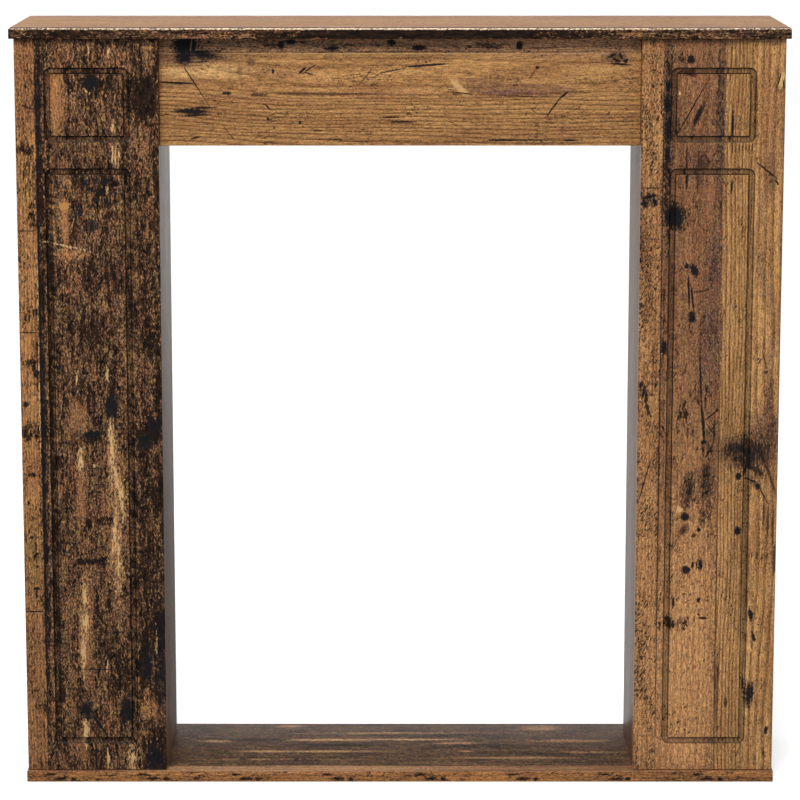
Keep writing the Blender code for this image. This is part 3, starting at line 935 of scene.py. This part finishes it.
def right_print():
    """A speckled strip, a russet plank and a pine plank with a knot."""
    foil = Foil("right_front_printed_foil", "right_pillar_front", "xz+y", "up")
    planks = [
        {"to": RIGHT_STRIP, "light": "#bb854f", "deep": "#976338", "ring": "#542c12", "rings": 0.45,
         "rings_per_mm": 0.16, "soot": 0.27, "specks": 1.8, "grit": 0.38, "hues": 0.7},
        {**RUSSET, "to": RUSSET_PLANK},
        {**PINE, "to": STRAIGHT_PINE, "rings_per_mm": 0.2},
        {**PINE, "light": "#c6955a", "deep": "#a77541", "rings_per_mm": 0.11, "rings": 0.75, "grit": 0.33,
         "hues": 0.5},
    ]
    sooty = [
        (32, 489, 8, 1010, 0, 0.5, 0.5), (4, 258, 12, 78, 0, 0.5, 1.2), (12, 213, 26, 18, 0, 0.4, 1.5),
        (104, 130, 12, 300, 0, 0.5, 0.6), (36, 130, 14, 240, 0, 0.5, 1.3), (47, 237, 36, 44, 0, 0.5, 1.6),
        (98, 391, 26, 70, 0, 0.6, 0.5), (14, 90, 34, 250, 0, 0.6, 0.4), (94, 552, 26, 18, 0, 0.5, 1.5),
        (94, 593, 16, 44, 0, 0.4, 1.5), (71, 606, 15, 48, 0, 0.5, 1.3), (94, 640, 15, 26, 0, 0.5, 1.4),
        (52, 25, 16, 14, 0, 0.6, 1.3), (46, 120, 30, 12, 119, 0.5, 0.8), (150, 552, 76, 46, 0, 0.6, 1.3),
        (170, 540, 50, 56, 0, 0.6, 1.2), (161, 603, 40, 14, 48, 0.5, 1.4), (8, 475, 13, 24, 0, 0.5, 1.2),
        (70, 524, 42, 26, 0, 0.6, 0.8), (60, 500, 20, 30, 0, 0.6, 0.9), (57, 793, 44, 22, 0, 0.5, 2.2),
        (86, 710, 10, 20, 0, 0.5, 1.2), (34, 560, 10, 300, 0, 0.6, 0.7), (86, 470, 40, 40, 0, 0.6, 0.6),
        (35, 381, 9, 24, 0, 0.6, 1.4), (112, 860, 8, 110, 0, 0.5, 1.3), (113, 945, 7, 60, 0, 0.5, 1.3),
        (180, 690, 26, 60, 0, 0.6, 0.9), (14, 460, 30, 60, 0, 0.6, 0.7), (14, 290, 30, 40, 0, 0.6, 0.7),
    ]
    clean = [
        (70, 880, 84, 300, 0, 0.4, 0.7), (14, 820, 34, 320, 0, 0.5, 0.3), (140, 300, 50, 300, 0, 0.5, 0.3),
    ]
    tones = [
        ("#7a4a30", 0.55, [
            (176, 115, 34, 150, 0, 0.6), (90, 250, 40, 200, 0, 0.8, 0.5), (180, 600, 20, 200, 0, 0.6, 0.6),
        ]),
        ("#34262a", 0.85, [
            (105, 115, 12, 250, 0, 0.5), (36, 130, 14, 240, 0, 0.5), (78, 170, 30, 50, 0, 0.7, 0.5),
        ]),
        ("#4a3432", 0.8, [
            (98, 391, 28, 90, 0, 0.6), (100, 300, 18, 90, 0, 0.7), (94, 440, 26, 60, 0, 0.8),
        ]),
        ("#cd945c", 0.95, [
            (70, 850, 92, 440, 0, 0.6), (14, 800, 34, 400, 0, 0.5, 0.6), (70, 540, 60, 200, 0, 0.8, 0.3),
        ]),
        ("#86654a", 0.6, [
            (168, 330, 14, 120, -14, 0.6), (160, 230, 8, 90, 8, 0.6), (176, 420, 10, 80, 10, 0.6),
        ]),
        ("#4f322c", 0.8, [
            (172, 535, 44, 76, 0, 0.6), (176, 485, 12, 80, 4, 0.6), (150, 553, 74, 48, 0, 0.6),
        ]),
    ]
    colour = old_planks(foil, planks, sooty, clean, tones, speck_turn=SLANT, knots=[KNOT])
    colour = paint(foil, colour, "#d6a873", 0.7, [(58, 634, 9, 9), (50, 72, 3, 6)], 0.5)
    brown = [
        (66, 45, 18, 8, 0, 0.5), (82, 336, 18, 3, -8), (83, 433, 2, 40), (99, 525, 24, 2.2, 57),
        (157, 697, 2, 9), (164, 698, 2, 12), (171, 699, 2, 10), (178, 698, 2, 9), (178, 650, 3, 45),
        (188, 704, 6, 46), (61, 447, 10, 2, -50), (63, 441, 2, 14, 20), (14, 197.5, 28, 1.8),
        (181, 54, 5, 22, 0, 0.4, 0.8), (178, 976, 4, 8), (109.8, 700, 1.4, 640), (17, 266, 24, 1.4, 4),
        (75.5, 191, 3, 34), (64, 662, 9, 17, 30, 0.5), (78, 670, 8, 5, -30), (168, 560, 30, 4, 60, 0.6),
        (180, 590, 4, 60, -20, 0.6), (172, 640, 3, 40), (185, 660, 3, 60), (169.4, 430, 31, 1.6, 76),
        (172, 445.6, 6, 5), (80, 158, 22, 3, -60), (88, 160, 20, 3, 60), (84, 166, 14, 14, 0, 0.6, 0.8),
        (110, 870, 3, 44), (114, 865, 2.4, 34), (125, 903, 5, 12), (112, 895, 6, 120, 0, 0.6, 0.8),
        (60.5, 158, 3, 40), (76, 166, 2.4, 36), (174, 180, 14, 60, 0, 0.6, 0.5),
        (183, 62, 12, 20, 0, 0.6, 0.6), (94, 531, 8, 14, 0, 0.6, 0.6),
    ]
    brown += [(121 + 4.4 * i, 146 - 0.5 * i, 2.0, 11) for i in range(7)]
    colour = paint(foil, colour, "#362014", 0.85, brown)
    colour = paint(foil, colour, "#c9a264", 0.8, [(184, 55, 7, 20, 15, 0.4), (157, 826, 3, 12, -12)], 0.5)
    black = [
        (64.5, 27.5, 11, 11), (75, 100.5, 33, 7, 115, 0.4), (66, 93, 86, 1.9, 119),
        (46, 237, 25, 32, 0, 0.3), (73, 308, 11, 19, -20), (63, 302, 6, 8), (66, 334, 3, 40, -3),
        (71, 345, 3, 36, -6), (71, 371, 10, 16), (84, 460, 2.4, 80, -3), (88, 515, 4, 64, -5, 0.4),
        (98.5, 505, 22, 2.2, -39), (107, 497.5, 4, 4), (101, 522, 22, 1.6, -53), (89, 541, 7, 7),
        (66, 644, 11.5, 11.5), (85, 662, 5, 5), (68, 718, 12, 12), (86, 760, 5, 8),
        (88, 710, 6, 16, 0, 0.5), (77, 711, 4, 9), (120.7, 115, 3.4, 48), (121, 196, 3, 18),
        (51.5, 763, 3.5, 17), (181, 55, 1.8, 22, 15), (187, 60, 1.6, 14, -10), (181, 190, 8, 2.4, 60),
        (149, 580, 5, 24, 20, 0.5), (155, 594, 16, 3, 20), (163, 602, 12, 8, 40, 0.6),
        (171, 614, 24, 1.8, 62), (137, 588, 9, 10), (137, 664, 9, 12), (157, 780, 6, 18, -10),
        (162, 812, 4, 16, -12), (156, 893, 9, 34, 0, 0.4), (161, 889, 4, 30), (151, 879, 3, 20),
        (181, 943, 5, 12), (34, 412, 8, 22), (103, 528, 2, 30), (29.4, 489, 1.6, 1000, 0, 0.5),
        (12, 209, 20, 5, -12, 0.4), (6, 219, 9, 12, 0, 0.4), (19, 216, 5, 12, -25),
        (61, 184, 4, 32, 0, 0.5), (92, 785, 11, 3.4, 4), (86, 780, 5, 2.4, 30), (10, 596, 56, 1.8, 105),
        (167.5, 174.5, 36, 2.6, 39), (64, 48, 16, 2, 20), (55, 44, 12, 1.8, -30), (35, 62, 7, 16),
        (34, 86, 8, 26), (36, 118, 9, 34), (35, 152, 7, 18),
    ]
    colour = paint(foil, colour, "#131419", 0.97, black)
    smoke = [
        (150, 556, 44, 36, 0, 0.6), (134, 552, 36, 20, -10, 0.6), (169, 556, 22, 34, 0, 0.6, 0.8),
        (178, 530, 8, 56, 12, 0.6, 0.45), (160, 580, 24, 14, 40, 0.6), (8, 474, 10, 14, -15, 0.4),
        (11, 484, 8, 6, 30), (14, 497, 4, 20, -15), (4, 464, 4, 12), (94, 598, 18, 56, 0, 0.6, 0.7),
        (70, 608, 16, 46, 10, 0.6, 0.7),
    ]
    return finish(foil, paint(foil, colour, "#1a1617", 0.92, smoke, 0.8, 9.0))


pillar_front("right", right_print())

# %% [markdown]
# ## Mantel, base and sides
#
# The mantel's print is pale on top, and its front edge holds the darkest plank. The base has dark plum
# planks between the pillars and a lighter strip in front of them. Each board could have its own painted
# picture, but the planks above only need other values here. The sides are seen as narrow strips or not at
# all, so their planks carry no marks.

# %% Mantel


def mantel_print():
    """Wide planks on top, and the darkest one round the front edge."""
    foil = Foil("mantel_printed_foil", "mantel_board", "xy-z", "right")
    planks = [
        {**RUSSET, "to": 70.0, "light": "#cc9f80", "deep": "#ab8064", "soot": 0.05, "hues": 1.0},
        {**PINE, "to": 160.0, "light": "#d8ad80", "deep": "#b98d63", "soot": 0.05, "rings": 0.5,
         "hues": 1.0},
        {**RUSSET, "to": 242.0, "light": "#cf9f7c", "deep": "#b08466", "soot": 0.1, "hues": 1.0},
        {**SOOTY, "light": "#9c6439", "soot": 0.58},
    ]
    sooty = [(556, 252, 400, 22, 0, 0.15, 2.3), (60, 252, 160, 22, 0, 0.5, 0.5)]
    tones = [
        ("#8a8078", 0.3, [
            (160, 60, 90, 40, 0, 0.6), (330, 110, 120, 50, 0, 0.6), (760, 70, 160, 40, 0, 0.6),
        ]),
    ]
    colour = old_planks(foil, planks, sooty, tones=tones)
    # A dark line is painted where the top turns into the front edge, and a thin pale line on the rounding
    # below it: the pale line is a painted highlight
    colour = paint(foil, colour, "#120f0d", 0.95, [(515, 243.0, 1030, 4.4, 0, 0.3)], 0.2)
    colour = paint(foil, colour, "#e6c8a6", 0.9, [(515, 246.6, 1030, 2.0, 0, 0.6)], 0.9)
    return finish(foil, colour)


mantel_board(mantel_print())

# %% Base
PLUM = {"light": "#5a4133", "deep": "#241915", "ring": "#1d1614", "rings": 0.5, "rings_per_mm": 0.04,
        "soot": 0.48, "specks": 0.6, "grit": 0.45, "hues": 1.4}
EDGE_STAINS = 8
EDGE_REPEAT = 126.6  # mm between the stains along the front edge


def base_print():
    """Dark plum planks between the pillars and a lighter strip in front."""
    foil = Foil("base_printed_foil", "base_board", "xy-z", "right")
    planks = [
        {**PLUM, "to": 90.0}, {**PLUM, "to": 211.0},
        {"to": 236.5, "light": "#9f7049", "deep": "#6b4634", "ring": "#4c2e20", "rings": 0.4,
         "rings_per_mm": 0.1, "soot": 0.2, "specks": 0.8, "grit": 0.3, "hues": 1.0},
        {"light": "#b4763a", "deep": "#8f5a2a", "ring": "#4c2e20", "rings": 0.5,
         "rings_per_mm": 0.2, "soot": 0.36, "specks": 1.3, "grit": 0.35, "hues": 0.5},
    ]
    pale = [(410, 84, 124, 11, 0, 0.5), (529, 82, 130, 8, 0, 0.5), (324, 141, 80, 11, 0, 0.5),
            (416, 141, 116, 10, 0, 0.5), (250, 91, 46, 12, 0, 0.5), (602, 140, 18, 9, 0, 0.4),
            (590, 100, 66, 9, 0, 0.5), (712, 22, 46, 24, 0, 0.6, 0.8), (753, 90, 110, 12, 0, 0.6, 0.7),
            (770, 144, 96, 10, 0, 0.6, 0.8), (353, 15, 40, 11, 0, 0.5), (340, 180, 240, 8, 0, 0.6, 0.6),
            (500, 50, 200, 10, 0, 0.6, 0.6), (660, 172, 160, 9, 0, 0.6, 0.6)]
    dark = [
        (300, 84, 90, 16, 0, 0.6), (430, 110, 140, 16, 0, 0.6), (350, 180, 260, 20, 0, 0.6, 0.7),
        (640, 118, 160, 20, 0, 0.6, 0.8), (760, 150, 160, 24, 0, 0.6, 0.7), (540, 60, 200, 20, 0, 0.6, 0.6),
    ]
    tones = [("#dcaa74", 0.95, pale), ("#c0946a", 0.8, [(350, 224, 480, 24, 0, 0.4)])]
    colour = old_planks(foil, planks, dark, pale, tones)
    spots = []
    for i in range(EDGE_STAINS):
        on = EDGE_REPEAT * i
        spots += [(49.5 + on, 247.5, 17, 4.6, 0, 0.4), (67 + on, 248, 8, 5, 20, 0.4),
                  (33 + on, 241.5, 15, 3.4, 0, 0.5)]
    return finish(foil, paint(foil, colour, "#15110d", 0.95, spots, 0.5))


plain_board("base", "base_board", base_print())

# %% Sides


def side_print():
    """The sides have the same old planks, without marks."""
    foil = Foil("side_printed_foil", "right_pillar_outer_side", "yz-x", "up")
    planks = [{**SOOTY, "to": 60.0, "soot": 0.5}, {**SOOTY, "to": 150.0, "soot": 0.44},
              {**RUSSET, "soot": 0.38}]
    return finish(foil, old_planks(foil, planks))


side_foil = side_print()
for side in ("left", "right"):
    for face in ("inner", "outer"):
        plain_board(f"{side}_{face}_side", f"{side}_pillar_{face}_side", side_foil)
